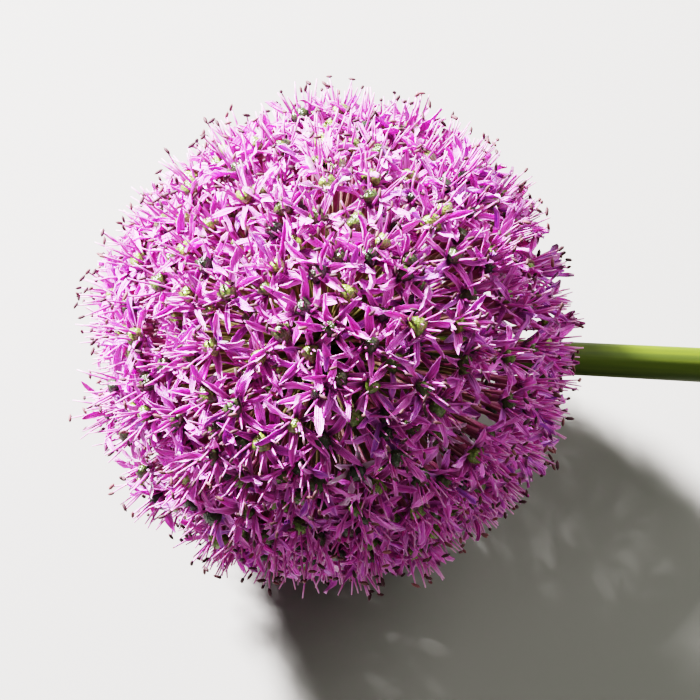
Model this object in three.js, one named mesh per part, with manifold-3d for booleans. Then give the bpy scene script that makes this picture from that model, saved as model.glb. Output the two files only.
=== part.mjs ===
// An allium flower head with a cut length of its stalk, lying on its side on a flat surface.
// The head is a round umbel: from one small receptacle on top of the stalk, hundreds of thin
// pedicels run out on all sides, and each ends in a star-shaped floret with six tepals,
// stamens and an ovary. The stalk slopes down from the middle of the head to the surface.
//
// Millimetres, +Z up. The origin is on the surface, under the middle of the whole part.
import * as THREE from "three";
import { ConvexGeometry } from "three/addons/geometries/ConvexGeometry.js";
import { mergeVertices } from "three/addons/utils/BufferGeometryUtils.js";
import Module from "manifold-3d";

const wasm = await Module();
wasm.setup();

// ---- Driving dimensions -------------------------------------------------------------------

const HEAD_RADIUS = 50; // from the middle of the head to the tips of the stamens
const REST_DEPTH = 2.2; // how far the tips under the head are pressed in where it rests
const HUB_HEIGHT = HEAD_RADIUS - REST_DEPTH;

const FLORETS = 126; // fewer and larger than life, but they cover the head as the real ones do
const FLORET_REACH = 41.5; // from the middle of the head to the foot of a floret, on average
const REACH_SPREAD = 1.6; // florets stand this much higher or lower
const FLORET_TILT = 0.16; // radians that a floret leans away from its pedicel, at most
const SEED = 20;

const PEDICEL_RADIUS = 0.85;
const ROOT_DRAW = 0.85; // the roots crowd towards the crown, and leave room for the stalk

const CUP_RADIUS = 1.75; // the ring where the tepals join round the ovary
const CUP_HEIGHT = 1.5; // that ring above the foot of the floret
const OVARY_HEIGHT = 3.4; // top of the ovary above the foot
const TEPAL_LENGTH = 9.6;
const TEPAL_WIDTH = 4.2;
const TEPAL_BROADEST = 0.42; // share of its length at which a tepal is broadest
const TEPAL_OPEN = 0.95; // radians between the floret's axis and its tepals
const TEPAL_OPEN_SPREAD = 0.14;
const STAMEN_LENGTH = 7.2;
const STAMEN_OPEN = 0.36; // radians between the floret's axis and its stamens

const RECEPTACLE_RADIUS = 9;
const RECEPTACLE_SEAT = 8; // distance from the middle of the flat under the receptacle

const STALK_LENGTH = 136; // from the middle of the head to the cut
const STALK_TOP_RADIUS = 4; // the stalk swells where it meets the receptacle
const STALK_NECK_RADIUS = 3.35;
const STALK_CUT_RADIUS = 3.9;
const STALK_CLEARANCE = 0.35; // radians round the stalk that hold no pedicel
const STALK_SIDES = 18;
const SEAT_GAP = 0.3;
const SEAT_SIDES = 9;

// The stalk's slope, at which the lower edge of its cut end just meets the surface: one flat
// of its many-sided section faces down there.
const CUT_FLAT_RADIUS = STALK_CUT_RADIUS * Math.cos(Math.PI / STALK_SIDES);
const STALK_SLOPE =
  Math.asin(HUB_HEIGHT / Math.hypot(STALK_LENGTH, CUT_FLAT_RADIUS)) -
  Math.atan2(CUT_FLAT_RADIUS, STALK_LENGTH);

const GOLDEN_ANGLE = Math.PI * (3 - Math.sqrt(5));
const SIXTH = Math.PI / 3;

// ---- Helpers ------------------------------------------------------------------------------

// A repeatable random draw between -1 and 1.
function seededDraw(seed) {
  let state = seed;
  return () => {
    state = (state + 0x6d2b79f5) | 0;
    let t = Math.imul(state ^ (state >>> 15), 1 | state);
    t = (t + Math.imul(t ^ (t >>> 7), 61 | t)) ^ t;
    return (((t ^ (t >>> 14)) >>> 0) / 4294967296) * 2 - 1;
  };
}

// A closed three.js geometry as a solid.
function solidOf(geometry) {
  const bare = geometry.clone();
  bare.deleteAttribute("normal");
  bare.deleteAttribute("uv");
  const merged = mergeVertices(bare, 1e-4);
  return new wasm.Manifold(
    new wasm.Mesh({
      numProp: 3,
      vertProperties: new Float32Array(merged.attributes.position.array),
      triVerts: new Uint32Array(merged.index.array),
    }),
  );
}

// A solid as a three.js geometry with flat faces.
function geometryOf(solid) {
  const mesh = solid.getMesh();
  const geometry = new THREE.BufferGeometry()
    .setAttribute("position", new THREE.BufferAttribute(mesh.vertProperties, 3))
    .setIndex(new THREE.BufferAttribute(mesh.triVerts, 1))
    .toNonIndexed();
  geometry.computeVertexNormals();
  return geometry;
}

// Any two directions square to an axis and to each other.
function frameAbout(axis) {
  const side = Math.abs(axis.z) < 0.9 ? new THREE.Vector3(0, 0, 1) : new THREE.Vector3(1, 0, 0);
  const u = new THREE.Vector3().crossVectors(axis, side).normalize();
  const v = new THREE.Vector3().crossVectors(axis, u);
  return { u, v, axis };
}

// The direction at an angle down from the crown and a turn about the flower's axis.
function directionAt(polar, turn) {
  const out = Math.sin(polar);
  return new THREE.Vector3(Math.cos(turn) * out, Math.sin(turn) * out, Math.cos(polar));
}

// The point at an angle, a distance out and a height in a frame that starts at a point.
function pointAt(start, frame, angle, out, height) {
  return start
    .clone()
    .addScaledVector(frame.u, Math.cos(angle) * out)
    .addScaledVector(frame.v, Math.sin(angle) * out)
    .addScaledVector(frame.axis, height);
}

// ---- Florets ------------------------------------------------------------------------------

// Where the florets stand: a golden-angle spiral over the ball, from the crown down to the
// stalk, so that they cover it evenly. Here +Z is the crown and the stalk runs along -Z.
function floretPlaces() {
  const draw = seededDraw(SEED);
  const lowest = -Math.cos(STALK_CLEARANCE);
  return Array.from({ length: FLORETS }, (_, i) => {
    const polar = Math.acos(1 - ((1 - lowest) * (i + 0.5)) / FLORETS);
    const turn = i * GOLDEN_ANGLE;
    const direction = directionAt(polar, turn);
    const { u, v } = frameAbout(direction);
    const axis = direction
      .clone()
      .addScaledVector(u, Math.tan(FLORET_TILT) * draw())
      .addScaledVector(v, Math.tan(FLORET_TILT) * draw())
      .normalize();
    return {
      foot: direction.multiplyScalar(FLORET_REACH + REACH_SPREAD * draw()),
      root: directionAt(polar * ROOT_DRAW, turn).multiplyScalar(RECEPTACLE_RADIUS),
      axis,
      spin: SIXTH * draw(),
      open: TEPAL_OPEN + TEPAL_OPEN_SPREAD * draw(),
    };
  });
}

// The three corners of a pedicel's section round a point of it.
function pedicelRing(point, axis, spin) {
  const frame = frameAbout(axis);
  return [1, 3, 5].map((k) => pointAt(point, frame, spin + k * SIXTH, PEDICEL_RADIUS, 0));
}

// One floret on its pedicel as a closed body. Six tepals and three stamens stand round the
// ovary; a tepal is flat above and has a keel below that runs from the pedicel to its tip.
function floretBody({ foot, root, axis, spin, open }) {
  const frame = frameAbout(axis);
  const corners = [];
  const faces = [];
  const add = (point) => corners.push(point) - 1;

  const top = add(pointAt(foot, frame, 0, 0, OVARY_HEIGHT));
  const cup = [];
  const left = [];
  const tip = [];
  const right = [];
  for (let i = 0; i < 6; i++) {
    const edge = spin + i * SIXTH;
    const middle = edge + SIXTH / 2;
    const along = (share) => [
      CUP_RADIUS + Math.sin(open) * TEPAL_LENGTH * share,
      CUP_HEIGHT + Math.cos(open) * TEPAL_LENGTH * share,
    ];
    const [broadOut, broadUp] = along(TEPAL_BROADEST);
    const halfAngle = Math.atan2(TEPAL_WIDTH / 2, broadOut);
    const edgeOut = Math.hypot(broadOut, TEPAL_WIDTH / 2);
    cup.push(add(pointAt(foot, frame, edge, CUP_RADIUS, CUP_HEIGHT)));
    left.push(add(pointAt(foot, frame, middle - halfAngle, edgeOut, broadUp)));
    tip.push(add(pointAt(foot, frame, middle, ...along(1))));
    right.push(add(pointAt(foot, frame, middle + halfAngle, edgeOut, broadUp)));
  }
  const neck = pedicelRing(foot, axis, spin).map(add);
  const base = pedicelRing(root, axis, spin).map(add);

  for (let i = 0; i < 6; i++) {
    const next = (i + 1) % 6;
    const keel = neck[i >> 1];
    faces.push([cup[i], left[i], tip[i]], [cup[i], tip[i], cup[next]], [cup[next], tip[i], right[i]]);
    faces.push([left[i], cup[i], keel], [tip[i], left[i], keel]);
    faces.push([right[i], tip[i], keel], [cup[next], right[i], keel]);
    if (i % 2) {
      faces.push([top, cup[i], cup[next]]);
    } else {
      const stamen = add(
        pointAt(
          foot,
          frame,
          spin + (i + 0.5) * SIXTH,
          CUP_RADIUS / 2 + Math.sin(STAMEN_OPEN) * STAMEN_LENGTH,
          (CUP_HEIGHT + OVARY_HEIGHT) / 2 + Math.cos(STAMEN_OPEN) * STAMEN_LENGTH,
        ),
      );
      faces.push([top, cup[i], stamen], [cup[i], cup[next], stamen], [cup[next], top, stamen]);
    }
  }
  for (let a = 0; a < 3; a++) {
    const before = (a + 2) % 3;
    faces.push([cup[2 * a], neck[before], neck[a]]);
    faces.push([neck[a], neck[before], base[before]], [neck[a], base[before], base[a]]);
  }
  faces.push([base[0], base[2], base[1]]);

  return new THREE.BufferGeometry()
    .setAttribute("position", new THREE.Float32BufferAttribute(corners.flatMap((p) => p.toArray()), 3))
    .setIndex(faces.flat());
}

// ---- Receptacle and stalk -------------------------------------------------------------------

// A closed turned shape whose profile is given as [radius, height] along +Z.
function turned(profile, sides) {
  const points = profile.map(([radius, height]) => new THREE.Vector2(radius, height));
  return new THREE.LatheGeometry(points, sides).rotateX(Math.PI / 2);
}

// The receptacle: a ball wrapped round the pedicels' roots, so that each root is a facet of it
// and the pedicel grows on without a seam, with a flat seat for the stalk below.
function receptacleGeometry(places) {
  const rim = Math.acos(-RECEPTACLE_SEAT / RECEPTACLE_RADIUS);
  const seat = Array.from({ length: SEAT_SIDES }, (_, i) =>
    directionAt(rim, (i * 2 * Math.PI) / SEAT_SIDES).multiplyScalar(RECEPTACLE_RADIUS),
  );
  const roots = places.flatMap(({ root, axis, spin }) => pedicelRing(root, axis, spin));
  return new ConvexGeometry([...roots, ...seat]);
}

function stalkGeometry() {
  const top = -RECEPTACLE_SEAT - SEAT_GAP;
  return turned(
    [
      [0, -STALK_LENGTH],
      [STALK_CUT_RADIUS, -STALK_LENGTH],
      [STALK_NECK_RADIUS, -HEAD_RADIUS],
      [STALK_NECK_RADIUS, top - 12],
      [STALK_TOP_RADIUS, top - 2],
      [STALK_TOP_RADIUS * 0.94, top],
      [0, top],
    ],
    STALK_SIDES,
  );
}

// ---- The flower -----------------------------------------------------------------------------

// +Z of the flower is its crown. It lies with the stalk towards +X, sloping down.
const flower = new THREE.Group();
flower.position.z = HUB_HEIGHT;
flower.rotation.y = STALK_SLOPE - Math.PI / 2;
flower.updateMatrix();

// The space under the surface, in the flower's own frame.
const DEEP = 4 * HEAD_RADIUS;
const underSurface = new THREE.BoxGeometry(DEEP, DEEP, DEEP)
  .translate(0, 0, -DEEP / 2)
  .applyMatrix4(flower.matrix.clone().invert());

const places = floretPlaces();
let umbel = solidOf(receptacleGeometry(places));
for (const place of places) umbel = umbel.add(solidOf(floretBody(place)));
umbel = umbel.subtract(solidOf(underSurface));

const head = new THREE.Mesh(
  geometryOf(umbel),
  new THREE.MeshStandardMaterial({ color: 0xb65cc0, roughness: 0.6, metalness: 0, flatShading: true }),
);
head.name = "flower_head";

const stalk = new THREE.Mesh(
  stalkGeometry(),
  new THREE.MeshStandardMaterial({ color: 0x5f7f2c, roughness: 0.5, metalness: 0 }),
);
stalk.name = "stalk";
flower.add(head, stalk);

// The origin goes under the middle of the whole part, on the surface.
const part = new THREE.Group();
part.add(flower);
const box = new THREE.Box3().setFromObject(part, true);
const middle = box.getCenter(new THREE.Vector3());
part.position.set(-middle.x, -middle.y, 0);

export default part;
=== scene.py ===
"""An allium flower head lying on a pale floor: about five hundred star-shaped lilac florets on thin
pedicels round one receptacle, and a cut length of green stalk. The florets stand by the same rule as
on the solid head: a golden-angle spiral from the crown down to the stalk."""

import math
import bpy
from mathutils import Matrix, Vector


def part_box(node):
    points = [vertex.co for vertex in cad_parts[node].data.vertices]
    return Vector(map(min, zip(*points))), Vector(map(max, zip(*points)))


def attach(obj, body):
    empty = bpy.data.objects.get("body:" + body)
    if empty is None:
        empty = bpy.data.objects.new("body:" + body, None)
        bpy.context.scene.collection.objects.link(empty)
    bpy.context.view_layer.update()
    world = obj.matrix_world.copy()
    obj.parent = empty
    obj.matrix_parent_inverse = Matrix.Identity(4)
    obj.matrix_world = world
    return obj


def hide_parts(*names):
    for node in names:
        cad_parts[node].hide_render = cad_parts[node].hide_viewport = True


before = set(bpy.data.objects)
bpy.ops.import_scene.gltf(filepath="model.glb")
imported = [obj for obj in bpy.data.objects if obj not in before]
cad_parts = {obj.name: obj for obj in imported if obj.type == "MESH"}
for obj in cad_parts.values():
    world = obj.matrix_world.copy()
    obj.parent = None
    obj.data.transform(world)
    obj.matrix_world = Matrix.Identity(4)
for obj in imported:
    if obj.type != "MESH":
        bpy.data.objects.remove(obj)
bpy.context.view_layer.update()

from types import SimpleNamespace

import bmesh
import bpy
import numpy as np
from mathutils import Matrix, Vector

# ---- Sizes, in millimetres where no other unit is named -------------------------------------------

MM = 0.001
HEAD_RADIUS = 50.0         # middle of the head to the anther tips
HUB_HEIGHT = 47.8          # middle of the head above the surface
REST_DEPTH = 1.2           # tips nearer to the surface than this bend flat
REST_GAP = 0.05            # and none comes nearer than this

STALK_LENGTH = 136.0       # middle of the head to the cut
STALK_CUT_RADIUS = 3.9
STALK_NECK_RADIUS = 3.35
STALK_TOP_RADIUS = 4.0
STALK_TAPER_MIDDLE = 93.0  # these five are distances from the middle of the head
STALK_SWELL_START = 24.0
STALK_SWELL_MIDDLE = 15.0
STALK_SWELL_END = 10.0
STALK_SHOULDER = 8.0
RECEPTACLE_RADIUS = 6.0
RECEPTACLE_FLAT = 0.86     # its underside is flat at this share of its radius

FLORETS = 500
SEED = 11
FLORET_JITTER = 0.24       # a floret stands this share of the spacing off the spiral, at most
FLORET_LEAN = 0.1          # radians off the pedicel's direction
AGE = 0.4                  # of a usual floret, from 0 for just open to 1 for nearly over
AGE_SPREAD = 0.22
WITHERED_SHARE = 0.05      # of the florets
FOOT_RADIUS = 41.4         # middle of the head to a floret's foot
FOOT_SPREAD = 1.2          # a foot stands this much further in or out, at most
FOOT_LUMPS = 0.6           # the head swells and sinks this much from place to place
LUMP_SEED = 5777
LUMP_WAVES = 5
LUMP_PITCH = 3.5           # radians that a usual wave turns over one radius of the head
FOOT_DEEP = 8.0            # the deepest florets stand this much further in
DEEP_SHARE = 0.26          # of the florets stand deeper
OBLATE = 0.988             # the head is a little shorter along the stalk
BULGE = 1.024              # and a little wider across it
STALK_CLEARANCE = 0.27     # radians round the stalk that hold no pedicel
ROOT_DRAW = 0.85           # pedicel roots crowd towards the crown
ROOT_SINK = 0.8            # and stand this deep in the receptacle
NECK_START = 1.7           # radians from the crown at which the florets round the stalk begin
NECK_SPAN = 0.9            # radians over which their habit sets in
NECK_CLOSING = 0.42        # radians that they open less
OPENING_SPREAD = 0.12      # radians, from floret to floret

TEPAL_LENGTH = 8.6
TEPAL_HALF_WIDTH = 0.94
TEPAL_THICKNESS = 0.15
TEPAL_CRUMPLE = 0.14       # height of its dents
TEPAL_FOOT_LIFT = 0.3      # along the floret's axis from its foot
WHORL_LIFT = 0.12          # the inner whorl stands this much higher
TEPAL_FOOT_OUT = 0.55      # out from the floret's axis
TEPAL_TURN_SPREAD = 0.1    # radians round the floret's axis
TEPAL_OPEN_BASE = 0.92     # radians between the floret's axis and the foot of a tepal
TEPAL_BASE_SPREAD = 0.1    # radians
TEPAL_OPEN_TIP = 1.36      # radians between the floret's axis and the tip
TEPAL_TIP_SPREAD = 0.24    # radians
TEPAL_TIP_SHARE = 1.8      # a floret's opening moves the tips this many times as far as the feet
TEPAL_TIP_AGE = 0.3        # radians that the tips of an old floret hang further back
TEPAL_TWIST_SPREAD = 0.75  # radians from foot to tip
TEPAL_BEND_SPREAD = 0.16   # radians sideways
TEPAL_NOTCH_SPREAD = 0.12  # share of the half width, from row to row
TEPAL_RUFFLE = 0.34        # the highest wave of an edge, as a share of the width
RUFFLE_TURN = 9            # radians that the waves turn along a tepal
RUFFLE_SLANT = 1.3         # and from its middle to its edge
ROLL_NARROWING = 0.35      # how much a fold or a roll narrows a tepal, as a share of the width
ROLL_MOST = 1.4            # the strongest roll that still narrows it
TIP_THINNING = 0.5         # a tepal's tip is thinner by this share
WITHERED_LENGTH = 0.85     # a withered tepal is this share as long
WITHERED_WIDTH = 0.7       # and as wide
WITHERED_RUFFLE = 0.25     # and its edges wave this much more
WITHERED_FILAMENT = 0.7    # a withered floret's filaments are this share as long
DRIED_SHARE = 0.06         # of the tepals have a dark dried tip
DARK_TIP_SHADE_AT_NECK = 0.65       # and this many more of those round the stalk: painted shade on the side away from the light
VIOLET_SPREAD = 0.42       # share of violet in a tepal's lilac
VIOLET_SHADE_AT_NECK = 0.25      # more of it round the stalk: painted dusky shade on the side away from the light
VIOLET_MOST = 0.9          # and never more than this
TEPAL_ROWS = 5             # of small faces along it
TEPAL_COLUMNS = 4          # and across it
TEPAL_STEPS = 24           # of the curve that a tepal follows
VEINS = 5                  # across one tepal: 0.4 apart, as coarse as they need to be to show
CRINKLE = 0.9              # between the wrinkles of a tepal

FILAMENT_LENGTH = 8.6
FILAMENT_FOOT_LIFT = 0.5   # along the floret's axis from its foot
FILAMENT_FOOT_OUT = 0.75   # out from the floret's axis
FILAMENT_OPEN = 0.32       # radians between the floret's axis and a filament
FILAMENT_OPEN_SPREAD = 0.15  # radians
FILAMENT_TURN_SPREAD = 0.12  # radians round the floret's axis
FILAMENT_LEAN_SPREAD = 0.08  # radians sideways
FILAMENT_BOW = 0.25        # its middle stands this far off a straight line
FILAMENT_INNER_EXTRA = 0.3  # every second filament is longer by this much
FILAMENT_TIP_RADIUS = 0.13
FILAMENT_TAPER = 0.26      # its foot is this much thicker
ANTHER_HALF_LENGTH = 1.0
ANTHER_RADIUS = 0.36
ANTHERS_LOST = 0.4         # share of filaments in a new floret that show no anther
ANTHERS_LOST_BY_AGE = 0.5  # and this much more in an old one
ANTHER_CROSSWISE = 0.2     # from 0 for turned at random to 1 for square to the filament
OVARY_RADIUS = 1.86
OVARY_HEIGHT_SHARE = 0.86  # an ovary is a little flatter than wide
OVARY_LIFT = 2.5           # its middle above the floret's foot
LOBE_DEPTH = 0.16          # share of the ovary's radius in its three lobes
GROOVE_DEPTH = 0.07        # and in the groove down each lobe
WART = 0.45                # across one wart of an ovary: real ones, half of that, are too fine to show
STYLE_FOOT = 1.2           # its start above the ovary's middle
STYLE_REACH = (2.6, 4.2)   # its end, least and most
STYLE_END_SPREAD = 0.3
STYLE_BOW = 0.15
STYLE_FOOT_RADIUS = 0.16
STYLE_TAPER = 0.05         # its tip is this much thinner
PEDICEL_RADIUS = 0.42
PEDICEL_TOP = 0.4          # its end above the floret's foot
PEDICEL_BOW = 0.8          # its middle stands this far off a straight line
PEDICEL_FLARE = 0.9        # it widens by this share under the floret
PEDICEL_FLARE_START = 0.93  # share of its length
STALK_LINE = 1.4           # between the stalk's lines: real ones, about 0.4, are too fine to show
LINE_STRETCH = 50.0        # the lines are this many times as long as wide

GOLDEN_ANGLE = math.pi * (3 - math.sqrt(5))
rng = np.random.default_rng(SEED)

# ---- Where the flower lies ------------------------------------------------------------------------

slope = math.asin(HUB_HEIGHT / math.hypot(STALK_LENGTH, STALK_CUT_RADIUS)) - math.atan2(
    STALK_CUT_RADIUS, STALK_LENGTH
)
stalk_low, stalk_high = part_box("stalk")
hub = np.array(
    [
        stalk_high[0] / MM - STALK_LENGTH * math.cos(slope) - STALK_CUT_RADIUS * math.sin(slope),
        (stalk_low[1] + stalk_high[1]) / 2 / MM,
        HUB_HEIGHT,
    ]
)
# The flower's own axes: its crown, the level sideways direction and the one square to both.
CROWN = np.array([-math.cos(slope), 0.0, math.sin(slope)])
SIDE = np.array([0.0, 1.0, 0.0])
OVER = np.cross(SIDE, CROWN)
flower_axes = np.stack([OVER, SIDE, CROWN])  # rows: local x, y, z in the frame


def in_frame(points):
    """Points in the flower's own axes, in millimetres, to the part's frame, still in millimetres."""
    return points @ flower_axes + hub


def unit(v):
    """Vectors brought to length 1."""
    return v / np.linalg.norm(v, axis=-1, keepdims=True)


def direction_at(polar, turn):
    """Directions at an angle from the crown and a turn round it."""
    return np.stack(
        [np.cos(turn) * np.sin(polar), np.sin(turn) * np.sin(polar), np.cos(polar)], axis=-1
    )


def side_of(axis):
    """A direction square to each axis."""
    helper = np.where(np.abs(axis[..., 2:3]) < 0.9, [0.0, 0.0, 1.0], [1.0, 0.0, 0.0])
    return unit(np.cross(axis, helper))


# ---- Florets: one row of values for each --------------------------------------------------------

index = np.arange(FLORETS)
lowest = -math.cos(STALK_CLEARANCE)
polar = np.arccos(1 - (1 - lowest) * (index + 0.5) / FLORETS)
turn = index * GOLDEN_ANGLE
spacing = math.sqrt(4 * math.pi / FLORETS)
jitter = rng.uniform(-FLORET_JITTER, FLORET_JITTER, (FLORETS, 2)) * spacing
polar = np.clip(polar + jitter[:, 0], 0, math.pi - STALK_CLEARANCE)
turn = turn + jitter[:, 1] / np.maximum(np.sin(polar), 0.25)  # as far on the crown as at the sides
direction = direction_at(polar, turn)
lean = rng.normal(0, FLORET_LEAN, (FLORETS, 2))
sideways = side_of(direction)
floret_axis = unit(
    direction + sideways * lean[:, :1] + np.cross(direction, sideways) * lean[:, 1:]
)
is_deep = rng.uniform(0, 1, (FLORETS, 1)) < DEEP_SHARE
deep = np.where(is_deep, rng.uniform(0.25, 1, (FLORETS, 1)), 0) * FOOT_DEEP
lump_rng = np.random.default_rng(LUMP_SEED)
lump_waves = lump_rng.normal(0, LUMP_PITCH, (3, LUMP_WAVES))  # each column a wave over the ball
lump_phases = lump_rng.uniform(0, 2 * math.pi, LUMP_WAVES)
lumps = np.sin(direction @ lump_waves + lump_phases).sum(1, keepdims=True)
foot = direction * (
    FOOT_RADIUS + FOOT_LUMPS * lumps + rng.uniform(-1, 1, (FLORETS, 1)) * FOOT_SPREAD - deep
)
foot = foot * [BULGE, BULGE, OBLATE]
root = direction_at(polar * ROOT_DRAW, turn) * (RECEPTACLE_RADIUS - ROOT_SINK)
floret_side = side_of(floret_axis)
floret_spin = rng.uniform(0, 2 * math.pi, FLORETS)
neck_share = np.clip((polar - NECK_START) / NECK_SPAN, 0, 1)  # 0 on the crown, 1 round the stalk
floret_opening = rng.normal(0, OPENING_SPREAD, FLORETS) - NECK_CLOSING * neck_share
floret_tint = rng.uniform(0, 1, FLORETS)
floret_age = np.clip(rng.normal(AGE, AGE_SPREAD, FLORETS), 0, 1)
withered = rng.uniform(0, 1, FLORETS) < WITHERED_SHARE


def around(axis, side, angle):
    """The outward direction and the tangential one at an angle round each floret's axis."""
    other = np.cross(axis, side)
    out = side * np.cos(angle)[:, None] + other * np.sin(angle)[:, None]
    return out, np.cross(axis, out)


# ---- Meshes ---------------------------------------------------------------------------------------


def template(make):
    """A mesh shaped by make(bm) with Blender's operators; it holds one copy of a repeated piece."""
    bm = bmesh.new()
    bm.loops.layers.uv.new("UVMap")
    make(bm)
    bmesh.ops.recalc_face_normals(bm, faces=bm.faces)
    mesh = bpy.data.meshes.new("template")
    bm.to_mesh(mesh)
    bm.free()
    return mesh


def coordinates(mesh):
    """A mesh's corners as rows of x, y, z."""
    co = np.empty(len(mesh.vertices) * 3)
    mesh.vertices.foreach_get("co", co)
    return co.reshape(-1, 3)


def mark(mesh, key, numbers):
    """Gives each corner of a mesh a number that the piece's finish reads."""
    layer = mesh.attributes.new(key, "FLOAT", "POINT")
    layer.data.foreach_set("value", numbers.astype(np.float32))


def repeated(name, source, places, values, material):
    """One piece holding a copy of the template for each row of places (copies, vertices, 3), given in
    the flower's own axes, with a float attribute for each of values (name: one number a copy)."""
    copies, corners, _ = places.shape
    bm = bmesh.new()
    for _ in range(copies):
        bm.from_mesh(source)
    mesh = bpy.data.meshes.new(name)
    bm.to_mesh(mesh)
    bm.free()
    points = in_frame(places.reshape(-1, 3))
    points[:, 2] = rested(points[:, 2])
    mesh.vertices.foreach_set("co", (points * MM).astype(np.float32).ravel())
    for key, numbers in values.items():
        mark(mesh, key, np.repeat(numbers, corners))
    mesh.polygons.foreach_set("use_smooth", np.full(len(mesh.polygons), True))
    mesh.update()
    return piece(name, mesh, material)


def piece(name, mesh, material):
    """An object in the scene, with its finish, on the part's one body."""
    obj = bpy.data.objects.new(name, mesh)
    bpy.context.scene.collection.objects.link(obj)
    mesh.materials.clear()
    mesh.materials.append(material)
    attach(obj, "root")
    return obj


def rested(height):
    """Heights in millimetres, pressed where the flower meets the surface: tips below bend flat."""
    bent = REST_GAP + (REST_DEPTH - REST_GAP) * np.exp((height - REST_DEPTH) / REST_DEPTH)
    return np.where(height < REST_DEPTH, bent, height)


# ---- Materials ------------------------------------------------------------------------------------


def colour(code):
    """An sRGB hex colour as linear RGBA."""
    channels = [int(code[i : i + 2], 16) / 255 for i in (1, 3, 5)]
    return [c / 12.92 if c <= 0.04045 else ((c + 0.055) / 1.055) ** 2.4 for c in channels] + [1]


def finish(name):
    """A new material, with its node tree and its shader."""
    material = bpy.data.materials.new(name)
    material.use_nodes = True
    return material, material.node_tree, material.node_tree.nodes["Principled BSDF"]


def constants(made, values):
    """Sets plain values on a node's own sockets."""
    for key, value in values.items():
        made.inputs[key].default_value = value


def node(tree, kind, inputs, output=0, **settings):
    """Adds a node with its settings; each input is a value or the socket to link. Gives one output."""
    made = tree.nodes.new(kind)
    for key, value in settings.items():
        setattr(made, key, value)
    for key, value in inputs.items():
        if isinstance(value, bpy.types.NodeSocket):
            tree.links.new(value, made.inputs[key])
        else:
            made.inputs[key].default_value = value
    return made.outputs[output]


def petal_satin():
    """Allium petal: a thin skin with a satin shine that lets light through. Its base is darkened with
    painted shade and its edges paled with a painted highlight. It has a darker midrib and faint veins
    along it and a dull maroon back to its tip. More dark tips and more violet round the stalk are
    painted shade."""
    material, tree, shader = finish("allium_petal_satin")
    constants(
        shader,
        {
            "Roughness": 0.4,
            "IOR": 1.45,
            "Specular IOR Level": 0.28,
            "Subsurface Weight": 0.8,
            "Sheen Weight": 0.1,
            "Sheen Roughness": 0.5,
            "Sheen Tint": colour("#BCC0FF"),
            "Subsurface Radius": (1.0, 0.6, 0.8),
            "Subsurface Scale": 0.18 * MM,
        },
    )
    uv = node(tree, "ShaderNodeUVMap", {}, uv_map="UVMap")
    across = node(tree, "ShaderNodeSeparateXYZ", {0: uv}, output="X")
    along = node(tree, "ShaderNodeSeparateXYZ", {0: uv}, output="Y")
    tint = node(tree, "ShaderNodeAttribute", {}, output="Fac", attribute_name="tint")
    violet = node(tree, "ShaderNodeAttribute", {}, output="Fac", attribute_name="violet")
    # Painted shade: each tepal darkens towards its foot, in the cup of the floret.
    base_shade = node(tree, "ShaderNodeMapRange", {0: along, 1: 0.08, 2: 0.5, 3: 0.92, 4: 0.0})
    from_edge = node(tree, "ShaderNodeMath", {0: across, 1: 0.5}, operation="PINGPONG")
    # Pale edges: a painted highlight where the curled rims catch the light.
    edge = node(
        tree,
        "ShaderNodeMapRange",
        {0: from_edge, 1: 0.26, 2: 0.02, 3: 0.0, 4: 0.6},
        interpolation_type="SMOOTHSTEP",
    )
    midrib = node(
        tree,
        "ShaderNodeMapRange",
        {0: from_edge, 1: 0.36, 2: 0.49, 3: 0.0, 4: 0.6},
        interpolation_type="SMOOTHSTEP",
    )
    vein_turns = node(tree, "ShaderNodeMath", {0: across, 1: 2 * math.pi * VEINS}, operation="MULTIPLY")
    veins = node(tree, "ShaderNodeMath", {0: vein_turns}, operation="SINE")
    vein_share = node(tree, "ShaderNodeMapRange", {0: veins, 1: -1.0, 2: 1.0, 3: 0.0, 4: 0.4})
    outside = node(tree, "ShaderNodeAttribute", {}, output="Fac", attribute_name="outside")
    # Dark tips: dried ones at random, and painted shade round the stalk.
    dark_tip_share = node(tree, "ShaderNodeAttribute", {}, output="Fac", attribute_name="dark_tip")
    tip = node(
        tree,
        "ShaderNodeMapRange",
        {0: along, 1: 0.64, 2: 0.86, 3: 0.0, 4: 0.9},
        interpolation_type="SMOOTHSTEP",
    )
    dull = node(
        tree,
        "ShaderNodeMath",
        {0: outside, 1: 0.6, 2: dark_tip_share},
        operation="MULTIPLY_ADD",
        use_clamp=True,
    )
    dull_tip = node(tree, "ShaderNodeMath", {0: tip, 1: dull}, operation="MULTIPLY")
    faded = node(tree, "ShaderNodeAttribute", {}, output="Fac", attribute_name="faded")
    # From the young tint up, each layer covers the ones before it by its share.
    body = colour("#DC54C4")
    for share, code in (
        (tint, "#F790DA"),
        # violet: a random tone, and painted shade round the stalk
        (violet, "#9868CC"),
        # painted shade at each tepal's foot
        (base_shade, "#701A5C"),
        # painted highlight on the pale edges
        (edge, "#F298E0"),
        (midrib, "#B84AAA"),
        (vein_share, "#B650AE"),
        (dull_tip, "#4C1236"),
        (faded, "#E6C9DC"),
    ):
        body = node(
            tree, "ShaderNodeMix", {0: share, 6: body, 7: colour(code)}, output=2, data_type="RGBA"
        )
    tree.links.new(body, shader.inputs["Base Color"])
    place = node(tree, "ShaderNodeTexCoord", {}, output="Object")
    crinkle = node(
        tree, "ShaderNodeTexNoise", {"Vector": place, "Scale": 1 / (CRINKLE * MM), "Detail": 2.0}
    )
    relief = node(
        tree, "ShaderNodeMath", {0: crinkle, 1: 5.0, 2: veins}, operation="MULTIPLY_ADD"
    )
    bump = node(tree, "ShaderNodeBump", {"Strength": 0.6, "Distance": 0.12 * MM, "Height": relief})
    tree.links.new(bump, shader.inputs["Normal"])
    return material


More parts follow.
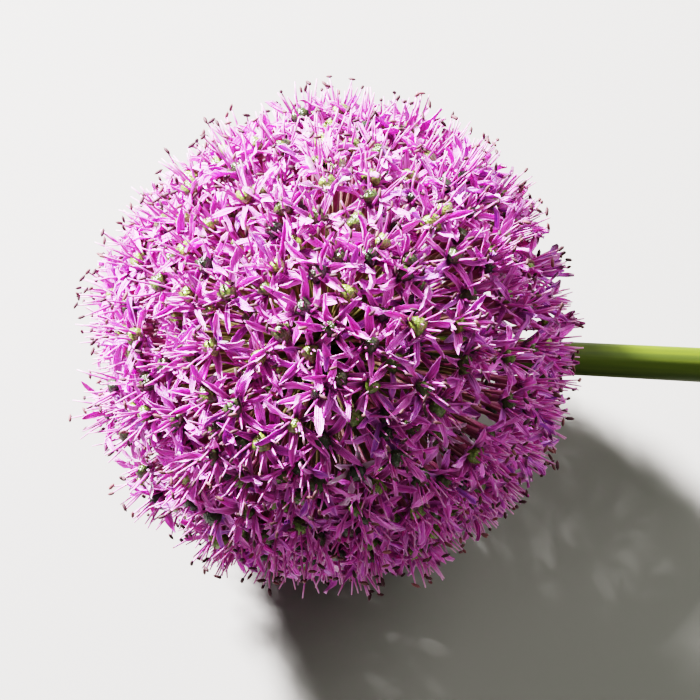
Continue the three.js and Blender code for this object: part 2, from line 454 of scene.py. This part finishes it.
def filament_skin():
    """Stamen filament: a glossy lilac awl that pales at its tip."""
    material, tree, shader = finish("allium_filament_glossy")
    constants(
        shader,
        {"Roughness": 0.32, "IOR": 1.42, "Subsurface Weight": 0.2, "Subsurface Scale": 0.6 * MM},
    )
    along = node(tree, "ShaderNodeAttribute", {}, output="Fac", attribute_name="along")
    pale = node(tree, "ShaderNodeMapRange", {0: along, 1: 0.7, 2: 1.0})
    body = node(
        tree,
        "ShaderNodeMix",
        {0: pale, 6: colour("#B456A2"), 7: colour("#CE96C4")},
        output=2,
        data_type="RGBA",
    )
    tree.links.new(body, shader.inputs["Base Color"])
    return material


def anther_husk():
    """Anther: a dry, matt pollen sac, maroon where it is full and dull brown where it has emptied."""
    material, tree, shader = finish("allium_anther_dry")
    constants(shader, {"Roughness": 0.7})
    tint = node(tree, "ShaderNodeAttribute", {}, output="Fac", attribute_name="tint")
    emptied = node(tree, "ShaderNodeMath", {0: tint, 1: 3.2}, operation="POWER")
    body = node(
        tree,
        "ShaderNodeMix",
        {0: emptied, 6: colour("#35121E"), 7: colour("#8C5658")},
        output=2,
        data_type="RGBA",
    )
    tree.links.new(body, shader.inputs["Base Color"])
    return material


def ovary_wax():
    """Ovary: a warty green capsule with a waxy shine, with painted shade in the hollows between its
    warts.
    """
    material, tree, shader = finish("allium_ovary_waxy")
    constants(shader, {"Roughness": 0.3, "IOR": 1.45, "Specular IOR Level": 0.8})
    place = node(tree, "ShaderNodeTexCoord", {}, output="Object")
    warts = node(
        tree, "ShaderNodeTexVoronoi", {"Vector": place, "Scale": 1 / (WART * MM)}, output="Distance"
    )
    tint = node(tree, "ShaderNodeAttribute", {}, output="Fac", attribute_name="tint")
    body = node(
        tree,
        "ShaderNodeMix",
        {0: tint, 6: colour("#16280F"), 7: colour("#86A042")},
        output=2,
        data_type="RGBA",
    )
    # Painted shade in the hollows between the warts.
    wart_shade = node(tree, "ShaderNodeMapRange", {0: warts, 1: 0.25, 2: 0.8, 3: 0.0, 4: 0.65})
    body = node(
        tree, "ShaderNodeMix", {0: wart_shade, 6: body, 7: colour("#141E0E")}, output=2, data_type="RGBA"
    )
    tree.links.new(body, shader.inputs["Base Color"])
    bump = node(
        tree, "ShaderNodeBump", {"Strength": 0.7, "Distance": 0.25 * MM, "Height": warts}, invert=True
    )
    tree.links.new(bump, shader.inputs["Normal"])
    return material


def pedicel_skin():
    """Pedicel: a thin waxy stem, green from the receptacle and reddish purple under its floret."""
    material, tree, shader = finish("allium_pedicel_waxy")
    constants(shader, {"Roughness": 0.5})
    along = node(tree, "ShaderNodeAttribute", {}, output="Fac", attribute_name="along")
    reddened = node(
        tree, "ShaderNodeMapRange", {0: along, 1: 0.35, 2: 0.95}, interpolation_type="SMOOTHSTEP"
    )
    body = node(
        tree,
        "ShaderNodeMix",
        {0: reddened, 6: colour("#7C7440"), 7: colour("#8C3E62")},
        output=2,
        data_type="RGBA",
    )
    tree.links.new(body, shader.inputs["Base Color"])
    return material


def stalk_bloom():
    """Stalk: a smooth olive-green stem with faint lengthwise lines, under wax that blurs its shine."""
    material, tree, shader = finish("allium_stalk_waxy")
    constants(shader, {"Roughness": 0.6, "IOR": 1.45, "Specular IOR Level": 0.3})
    place = node(tree, "ShaderNodeTexCoord", {}, output="Object")
    drawn_out = node(
        tree,
        "ShaderNodeMapping",
        {"Vector": place, "Rotation": (0.0, slope, 0.0), "Scale": (LINE_STRETCH, 1.0, 1.0)},
        vector_type="TEXTURE",
    )
    lines = node(
        tree,
        "ShaderNodeTexNoise",
        {"Vector": drawn_out, "Scale": 1 / (STALK_LINE * MM), "Detail": 3.0},
    )
    lined = node(tree, "ShaderNodeMapRange", {0: lines, 1: 0.3, 2: 0.75})
    body = node(
        tree,
        "ShaderNodeMix",
        {0: lined, 6: colour("#32400A"), 7: colour("#505C12")},
        output=2,
        data_type="RGBA",
    )
    tree.links.new(body, shader.inputs["Base Color"])
    bump = node(tree, "ShaderNodeBump", {"Strength": 0.15, "Distance": 0.2 * MM, "Height": lines})
    tree.links.new(bump, shader.inputs["Normal"])
    return material


# ---- Tepals ---------------------------------------------------------------------------------------


def tepal_sheet(bm):
    """A flat strip with x from -1 to 1 and y from 0 to 1, given a thickness and a sharp rim."""
    bmesh.ops.create_grid(bm, x_segments=TEPAL_COLUMNS, y_segments=TEPAL_ROWS, size=1, calc_uvs=True)
    bmesh.ops.translate(bm, verts=bm.verts, vec=(0, 1, 0))
    bmesh.ops.scale(bm, verts=bm.verts, vec=(1, 0.5, 1))
    bmesh.ops.solidify(bm, geom=bm.faces[:], thickness=1.0)
    for edge in bm.edges:
        first, second = edge.link_faces
        edge.smooth = abs(first.normal.dot(second.normal)) >= 0.5


tepal_mesh = template(tepal_sheet)
tepal_local = coordinates(tepal_mesh)
tepal_s = 1 - (1 - tepal_local[:, 1]) ** 1.25  # share of the length, its rows closer at the tip
tepal_row = np.rint(tepal_local[:, 1] * TEPAL_ROWS).astype(int)
tepal_column = np.rint((tepal_local[:, 0] + 1) / 2 * TEPAL_COLUMNS).astype(int)
tepal_outside = tepal_local[:, 2] < tepal_local[:, 2].mean()  # the side away from the ovary


def half_width(s):
    """Share of the greatest half width at a share s of the length: a strap with a blunt tip."""
    broadest = 0.35
    foot_width = 0.6
    tip_reach = 0.66
    bluntness = 4.6
    rise = foot_width + (1 - foot_width) * np.sin(np.clip(s / broadest, 0, 1) * math.pi / 2)
    fall = np.sqrt(np.clip(1 - (np.clip(s - broadest, 0, 1) / tip_reach) ** bluntness, 0, 1))
    return rise * fall


def tepal_habit(which, whorl):
    """How each tepal of a whorl stands, curls and crumples. which gives the floret of each."""
    n = len(which)
    old = withered[which]
    opening = floret_opening[which]
    angle = floret_spin[which] + np.tile(np.arange(3) * 2, FLORETS) * math.pi / 3
    angle = angle + whorl * math.pi / 3
    return SimpleNamespace(
        angle=angle + rng.normal(0, TEPAL_TURN_SPREAD, n),
        length=TEPAL_LENGTH * rng.uniform(0.9, 1.1, n) * np.where(old, WITHERED_LENGTH, 1),
        width=TEPAL_HALF_WIDTH * rng.uniform(0.85, 1.12, n) * np.where(old, WITHERED_WIDTH, 1),
        open_base=TEPAL_OPEN_BASE + opening + rng.normal(0, TEPAL_BASE_SPREAD, n),
        open_tip=TEPAL_OPEN_TIP
        + TEPAL_TIP_SHARE * opening
        + rng.normal(0, TEPAL_TIP_SPREAD, n)
        + TEPAL_TIP_AGE * floret_age[which],
        twist=rng.normal(0, TEPAL_TWIST_SPREAD, n),
        bend=rng.normal(0, TEPAL_BEND_SPREAD, n),
        channel=rng.uniform(0.2, 0.95, n),
        tip_roll=rng.uniform(0.0, 0.7, n),
        ruffle=rng.uniform(0.0, TEPAL_RUFFLE, n) + np.where(old, WITHERED_RUFFLE, 0),
        phase=rng.uniform(0, 2 * math.pi, n),
        crumple=rng.normal(0, TEPAL_CRUMPLE, (n, TEPAL_ROWS + 1, TEPAL_COLUMNS + 1)),
        notch=1 + rng.normal(0, TEPAL_NOTCH_SPREAD, (n, TEPAL_ROWS + 1)),
    )


def at_corners(curves):
    """Values at the strip's corners, from curves with a value for each step."""
    position = tepal_s * TEPAL_STEPS
    low = np.clip(np.floor(position).astype(int), 0, TEPAL_STEPS - 1)
    share = position - low
    return curves[:, low] * (1 - share) + curves[:, low + 1] * share


def summed(directions):
    """How far a tepal of length 1 has come after each step."""
    sums = np.cumsum((directions[:, 1:] + directions[:, :-1]) / 2, axis=1) / TEPAL_STEPS
    return np.concatenate([np.zeros((len(directions), 1)), sums], axis=1)


def tepal_spines(habit, start, out, axis, across):
    """Points on each tepal's middle line and its direction there, at the strip's corners."""
    steps = np.linspace(0, 1, TEPAL_STEPS + 1)
    opened = habit.open_base[:, None] + (habit.open_tip - habit.open_base)[:, None] * steps**0.8
    bent = habit.bend[:, None] * steps * 2
    shares = (np.sin(opened) * np.cos(bent), np.cos(opened), np.sin(bent) * np.sin(opened))
    points = start[:, None]
    tangent = np.zeros(3)
    for share, way in zip(shares, (out, axis, across)):
        reach = at_corners(summed(share)) * habit.length[:, None]
        points = points + reach[..., None] * way[:, None]
        tangent = tangent + at_corners(share)[..., None] * way[:, None]
    return points, unit(tangent)


def tepal_blades(habit, points, tangent, across):
    """The strip laid along the middle lines, twisted, folded, rolled, waved and crumpled."""
    s, w = tepal_s, tepal_local[:, 0]
    flat = unit(across[:, None] - tangent * np.sum(tangent * across[:, None], axis=-1, keepdims=True))
    square = np.cross(tangent, flat)
    twist = habit.twist[:, None] * s**1.3
    wide = flat * np.cos(twist)[..., None] + square * np.sin(twist)[..., None]
    above = np.cross(tangent, wide)

    half = habit.width[:, None] * half_width(s) * habit.notch[:, tepal_row]
    rolled = habit.channel[:, None] + habit.tip_roll[:, None] * s**4
    narrow = 1 - ROLL_NARROWING * np.clip(rolled, 0, ROLL_MOST) * np.abs(w)
    fold = rolled * np.abs(w) ** 1.2 * half
    turned_by = s * RUFFLE_TURN + habit.phase[:, None] + RUFFLE_SLANT * w
    waves = habit.ruffle[:, None] * np.sin(turned_by) * np.abs(w) * habit.width[:, None] * 2
    sheet_side = (tepal_local[:, 2] - tepal_local[:, 2].mean()) / np.ptp(tepal_local[:, 2])
    thick = sheet_side * TEPAL_THICKNESS * (1 - TIP_THINNING * s)
    lift = fold + waves + habit.crumple[:, tepal_row, tepal_column] + thick
    return points + wide * (w * half * narrow)[..., None] + above * lift[..., None]


def tepal_colouring(which):
    """The values that the finish of each tepal reads."""
    n = len(which)
    faded = np.where(withered[which], rng.uniform(0.5, 0.9, n), rng.uniform(0, 0.12, n))
    tint = np.clip(floret_tint[which] * 0.6 + rng.uniform(0, 0.4, n), 0, 1)
    # Dried tips at random, and more dark tips round the stalk as painted shade.
    dark_tipped = rng.uniform(0, 1, n) < DRIED_SHARE + DARK_TIP_SHADE_AT_NECK * neck_share[which]
    dark_tip = dark_tipped * rng.uniform(0.6, 1, n)
    # A violet tone at random, and more round the stalk as painted dusky shade.
    violet = rng.normal(0.0, VIOLET_SPREAD, n) + VIOLET_SHADE_AT_NECK * neck_share[which]
    violet = np.clip(violet, 0, VIOLET_MOST)
    return {"tint": tint, "faded": faded, "dark_tip": dark_tip, "violet": violet}


def tepals(whorl):
    """Places of the three tepals of one whorl on every floret, and the values their finish reads."""
    which = np.repeat(index, 3)
    habit = tepal_habit(which, whorl)
    axis = floret_axis[which]
    out, across = around(axis, floret_side[which], habit.angle)
    start = foot[which] + axis * (TEPAL_FOOT_LIFT + WHORL_LIFT * whorl) + out * TEPAL_FOOT_OUT
    points, tangent = tepal_spines(habit, start, out, axis, across)
    return tepal_blades(habit, points, tangent, across), tepal_colouring(which)


# ---- Stamens, ovaries, pedicels -------------------------------------------------------------------


def tube(sides, rings):
    """Gives a maker of a closed tube with so many sides along z from 0 to 1, radius 1."""

    def make(bm):
        bmesh.ops.create_circle(bm, cap_ends=True, segments=sides, radius=1)
        for ring in range(rings):
            top = [f for f in bm.faces if all(abs(v.co.z - ring / rings) < 1e-6 for v in f.verts)]
            moved = bmesh.ops.extrude_face_region(bm, geom=top)["geom"]
            corners = [g for g in moved if isinstance(g, bmesh.types.BMVert)]
            bmesh.ops.translate(bm, verts=corners, vec=(0, 0, 1 / rings))
            if ring:
                bmesh.ops.delete(bm, geom=top, context="FACES_ONLY")

    return make


def along_paths(local, starts, ends, bow, radius):
    """Tubes from starts to ends, bowed sideways by bow (all rows of 3). radius gives the thickness at
    each share s of the length, a row for each tube."""
    s = local[:, 2]
    line = ends - starts
    tangent = unit(line)
    u = side_of(tangent)
    v = np.cross(tangent, u)
    centre = starts[:, None] + s[:, None] * line[:, None] + bow[:, None] * (4 * s * (1 - s))[:, None]
    r = radius(s)[..., None]
    return centre + u[:, None] * (local[:, :1] * r) + v[:, None] * (local[:, 1:2] * r)


def pedicel_radius(s):
    """Thin and even, with a flare under the floret."""
    flare = np.clip((s - PEDICEL_FLARE_START) / (1 - PEDICEL_FLARE_START), 0, 1) ** 2
    return np.tile(PEDICEL_RADIUS * (1 + PEDICEL_FLARE * flare), (FLORETS, 1))


pedicel_mesh = template(tube(5, 6))
pedicel_local = coordinates(pedicel_mesh)
pedicel_places = along_paths(
    pedicel_local,
    root,
    foot + floret_axis * PEDICEL_TOP,
    rng.normal(0, PEDICEL_BOW, (FLORETS, 3)),
    pedicel_radius,
)

filament_mesh = template(tube(4, 3))
filament_local = coordinates(filament_mesh)


def stamens():
    """Each filament's floret, start, end, direction and bow."""
    which = np.repeat(index, 6)
    n = len(which)
    angle = floret_spin[which] + np.tile(np.arange(6), FLORETS) * math.pi / 3
    angle = angle + rng.normal(0, FILAMENT_TURN_SPREAD, n)
    axis, side = floret_axis[which], floret_side[which]
    out, across = around(axis, side, angle)
    inner = np.tile(np.arange(6) % 2, FLORETS)
    opened = rng.normal(FILAMENT_OPEN, FILAMENT_OPEN_SPREAD, n) + floret_opening[which]
    opened = np.clip(opened, 0.08, 1.1)
    length = FILAMENT_LENGTH * rng.uniform(0.82, 1.1, n)
    length = length * np.where(withered[which], WITHERED_FILAMENT, 1) + FILAMENT_INNER_EXTRA * inner
    start = foot[which] + axis * FILAMENT_FOOT_LIFT + out * FILAMENT_FOOT_OUT
    way = out * np.sin(opened)[:, None] + axis * np.cos(opened)[:, None]
    way = unit(way + across * rng.normal(0, FILAMENT_LEAN_SPREAD, n)[:, None])
    end = start + way * length[:, None]
    return which, start, end, way, rng.normal(0, FILAMENT_BOW, (n, 3))


stamen_of, stamen_start, stamen_end, stamen_way, stamen_bow = stamens()
stamen_count = len(stamen_of)
filament_places = along_paths(
    filament_local,
    stamen_start,
    stamen_end,
    stamen_bow,
    lambda s: np.tile(FILAMENT_TAPER * (1 - s) + FILAMENT_TIP_RADIUS, (stamen_count, 1)),
)


def anther_ball(bm):
    bmesh.ops.create_icosphere(bm, subdivisions=1, radius=1)


anther_mesh = template(anther_ball)
anther_local = coordinates(anther_mesh)
anther_lost = ANTHERS_LOST + ANTHERS_LOST_BY_AGE * floret_age[stamen_of]
anther_here = np.flatnonzero(rng.uniform(0, 1, stamen_count) > anther_lost)
anther_turn = rng.normal(0, 1, (len(anther_here), 3))
anther_along = np.sum(anther_turn * stamen_way[anther_here], axis=1, keepdims=True)
anther_turn = unit(anther_turn - ANTHER_CROSSWISE * anther_along * stamen_way[anther_here])
anther_size = rng.uniform(0.85, 1.15, len(anther_here))[:, None, None]
anther_u = side_of(anther_turn)
anther_v = np.cross(anther_turn, anther_u)
anther_places = (
    stamen_end[anther_here][:, None]
    + anther_turn[:, None] * anther_local[:, 2:3] * ANTHER_HALF_LENGTH * anther_size
    + anther_u[:, None] * anther_local[:, :1] * ANTHER_RADIUS * anther_size
    + anther_v[:, None] * anther_local[:, 1:2] * ANTHER_RADIUS * anther_size
)


def ovary_ball(bm):
    bmesh.ops.create_uvsphere(bm, u_segments=12, v_segments=6, radius=1)


ovary_mesh = template(ovary_ball)
ovary_local = coordinates(ovary_mesh)
ovary_angle = np.arctan2(ovary_local[:, 1], ovary_local[:, 0])
lobes = 1 + LOBE_DEPTH * np.cos(3 * ovary_angle) + GROOVE_DEPTH * np.cos(6 * ovary_angle)
ovary_shape = ovary_local * np.stack([lobes, lobes, np.full_like(lobes, OVARY_HEIGHT_SHARE)], axis=-1)
ovary_size = OVARY_RADIUS * rng.uniform(0.82, 1.12, FLORETS)
ovary_out, ovary_across = around(floret_axis, floret_side, floret_spin)
ovary_centre = foot + floret_axis * OVARY_LIFT
ovary_places = ovary_centre[:, None] + ovary_size[:, None, None] * (
    ovary_out[:, None] * ovary_shape[:, :1]
    + ovary_across[:, None] * ovary_shape[:, 1:2]
    + floret_axis[:, None] * ovary_shape[:, 2:3]
)

style_mesh = template(tube(4, 2))
style_local = coordinates(style_mesh)
style_end = ovary_centre + floret_axis * rng.uniform(*STYLE_REACH, (FLORETS, 1))
style_end = style_end + rng.normal(0, STYLE_END_SPREAD, (FLORETS, 3))
style_places = along_paths(
    style_local,
    ovary_centre + floret_axis * STYLE_FOOT,
    style_end,
    rng.normal(0, STYLE_BOW, (FLORETS, 3)),
    lambda s: np.tile(STYLE_FOOT_RADIUS - STYLE_TAPER * s, (FLORETS, 1)),
)

# ---- Receptacle and stalk -------------------------------------------------------------------------


def turned(name, profile, sides):
    """A closed turned mesh about the flower's axis. The profile's (radius, height) pairs start and end
    on that axis."""
    bm = bmesh.new()
    corners = [bm.verts.new((radius, 0, height)) for radius, height in profile]
    edges = [bm.edges.new(pair) for pair in zip(corners, corners[1:])]
    bmesh.ops.spin(
        bm,
        geom=corners + edges,
        cent=(0, 0, 0),
        axis=(0, 0, 1),
        angle=2 * math.pi,
        steps=sides,
        use_merge=True,
    )
    bmesh.ops.remove_doubles(bm, verts=bm.verts, dist=1e-4)
    bmesh.ops.recalc_face_normals(bm, faces=bm.faces)
    mesh = bpy.data.meshes.new(name)
    bm.to_mesh(mesh)
    bm.free()
    mesh.vertices.foreach_set("co", (in_frame(coordinates(mesh)) * MM).astype(np.float32).ravel())
    mesh.polygons.foreach_set("use_smooth", np.full(len(mesh.polygons), True))
    mesh.update()
    return mesh


def receptacle_profile():
    """A ball with a flat underside."""
    arcs = 12
    rim = math.acos(-RECEPTACLE_FLAT)
    angles = [rim * (1 - k / arcs) for k in range(arcs)]
    ball = [(RECEPTACLE_RADIUS * math.sin(a), RECEPTACLE_RADIUS * math.cos(a)) for a in angles]
    return [(0.0, -RECEPTACLE_RADIUS * RECEPTACLE_FLAT), *ball, (0.0, RECEPTACLE_RADIUS)]


def stalk_profile():
    """From the cut, with a blunt rim, up to the swelling that carries the receptacle."""
    top = -RECEPTACLE_RADIUS * RECEPTACLE_FLAT
    return [
        (0.0, -STALK_LENGTH),
        (STALK_CUT_RADIUS - 0.15, -STALK_LENGTH),
        (STALK_CUT_RADIUS, -STALK_LENGTH + 0.2),
        (STALK_CUT_RADIUS - 0.02, -STALK_LENGTH + 5),
        (STALK_CUT_RADIUS * 0.5 + STALK_NECK_RADIUS * 0.5, -STALK_TAPER_MIDDLE),
        (STALK_NECK_RADIUS, -HEAD_RADIUS),
        (STALK_NECK_RADIUS, -STALK_SWELL_START),
        (STALK_NECK_RADIUS + 0.25, -STALK_SWELL_MIDDLE),
        (STALK_TOP_RADIUS, -STALK_SWELL_END),
        (STALK_TOP_RADIUS + 0.1, -STALK_SHOULDER),
        (STALK_TOP_RADIUS * 0.9, top),
        (0.0, top),
    ]


# ---- Build ------------------------------------------------------------------------------------------

petal_finish = petal_satin()
crown_half = index < FLORETS // 2
for whorl, name in enumerate(("outer_tepals", "inner_tepals")):
    whorl_places, whorl_values = tepals(whorl)
    for part, florets in (("crown", crown_half), ("neck", ~crown_half)):
        chosen = np.repeat(florets, 3)
        values = {key: numbers[chosen] for key, numbers in whorl_values.items()}
        made = repeated(
            f"{name}_{part}", tepal_mesh, whorl_places[chosen], values, petal_finish
        )
        mark(made.data, "outside", np.tile(tepal_outside, int(chosen.sum())))
        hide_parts("flower_head")

filament_finish = filament_skin()
filaments = repeated("filaments", filament_mesh, filament_places, {}, filament_finish)
mark(filaments.data, "along", np.tile(filament_local[:, 2], stamen_count))
anther_age = floret_age[stamen_of[anther_here]]
anther_tint = np.clip(rng.uniform(0, 0.8, len(anther_here)) + 0.2 * anther_age, 0, 1)
anthers = repeated(
    "anthers", anther_mesh, anther_places, {"tint": anther_tint}, anther_husk()
)
ovary_tint = rng.uniform(0, 1, FLORETS) ** 1.7  # most are dark
ovaries = repeated(
    "ovaries", ovary_mesh, ovary_places, {"tint": ovary_tint}, ovary_wax()
)
styles = repeated("styles", style_mesh, style_places, {}, filament_finish)
mark(styles.data, "along", np.tile(style_local[:, 2], FLORETS))
pedicels = repeated("pedicels", pedicel_mesh, pedicel_places, {}, pedicel_skin())
mark(pedicels.data, "along", np.tile(pedicel_local[:, 2], FLORETS))
green_skin = stalk_bloom()
receptacle_mesh = turned("receptacle", receptacle_profile(), 24)
receptacle = piece("receptacle", receptacle_mesh, green_skin)
for made in (filaments, anthers, ovaries, styles, pedicels, receptacle):
    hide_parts("flower_head")
stalk_mesh = turned("stalk_stem", stalk_profile(), 48)
stalk_piece = piece("stalk_stem", stalk_mesh, green_skin)
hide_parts("stalk")

# ---- Floor, light and camera --------------------------------------------------------------------------

FRAME = 700                # pixels a side
HEAD_PIXELS = 250          # the head's radius in the photograph's frame
HEAD_AT = (328, 346)       # its middle there, from the upper left corner
SENSOR = 36                # millimetres
DISTANCE = 0.95            # metres from the camera to the head
AZIMUTH, ELEVATION = math.radians(-7.2), math.radians(62)
FLOOR_REACH = 3            # metres from its middle to each edge

# The camera's own directions: from the head to the camera, to the right and up in the picture.
back = Vector(
    (
        math.sin(AZIMUTH) * math.cos(ELEVATION),
        -math.cos(AZIMUTH) * math.cos(ELEVATION),
        math.sin(ELEVATION),
    )
)
right = Vector((math.cos(AZIMUTH), math.sin(AZIMUTH), 0))
up = back.cross(right)
hub_metres = Vector(hub) * MM
metres_per_pixel = HEAD_RADIUS * MM / HEAD_PIXELS
aim = (
    hub_metres
    + right * (FRAME / 2 - HEAD_AT[0]) * metres_per_pixel
    - up * (FRAME / 2 - HEAD_AT[1]) * metres_per_pixel
)

camera_data = bpy.data.cameras.new("camera")
camera_data.sensor_width = SENSOR
camera_data.lens = HEAD_PIXELS / math.tan(math.asin(HEAD_RADIUS * MM / DISTANCE)) * SENSOR / FRAME
camera = bpy.data.objects.new("camera", camera_data)
camera_turn = Matrix((right, up, back)).transposed().to_4x4()
camera.matrix_world = Matrix.Translation(aim + back * DISTANCE) @ camera_turn
bpy.context.scene.collection.objects.link(camera)
bpy.context.scene.camera = camera

floor_mesh = bpy.data.meshes.new("floor")
bm = bmesh.new()
bmesh.ops.create_grid(bm, x_segments=1, y_segments=1, size=FLOOR_REACH)
bm.to_mesh(floor_mesh)
bm.free()
floor = bpy.data.objects.new("floor", floor_mesh)
bpy.context.scene.collection.objects.link(floor)
floor_material, _, floor_shader = finish("pale_floor_matt")
constants(floor_shader, {"Roughness": 0.9, "Base Color": colour("#7E7F7B")})
floor_mesh.materials.append(floor_material)


def lamp(name, way, distance, size, power, tone):
    """A round area light that faces the head; metres and watts."""
    data = bpy.data.lights.new(name, "AREA")
    data.shape = "DISK"
    data.size = size
    data.energy = power
    data.color = colour(tone)[:3]
    made = bpy.data.objects.new(name, data)
    place = hub_metres + way.normalized() * distance
    facing = way.to_track_quat("Z", "Y").to_matrix().to_4x4()
    made.matrix_world = Matrix.Translation(place) @ facing
    bpy.context.scene.collection.objects.link(made)


# The first stands for the sun, small and strong, and the second for the bright sky opposite.
lamp(
    "key_light",
    way=right * -0.58 + up * 0.79 + back * 0.2,
    distance=1.6,
    size=0.2,
    power=215,
    tone="#FCF6FA",
)
lamp(
    "fill_light",
    way=right * 0.72 + up * 0.68 + back * 0.32,
    distance=1.8,
    size=1.6,
    power=17,
    tone="#FAF4F0",
)

world = bpy.data.worlds.new("studio")
bpy.context.scene.world = world
world.use_nodes = True
background = world.node_tree.nodes["Background"]
constants(background, {"Color": colour("#E3EBDA"), "Strength": 0.19})
# A camera's tone curve: sunlit petals pale towards white and shaded ones stay deep.
view = bpy.context.scene.view_settings
view.view_transform = "Filmic"
view.look = "High Contrast"
view.exposure = 0.7
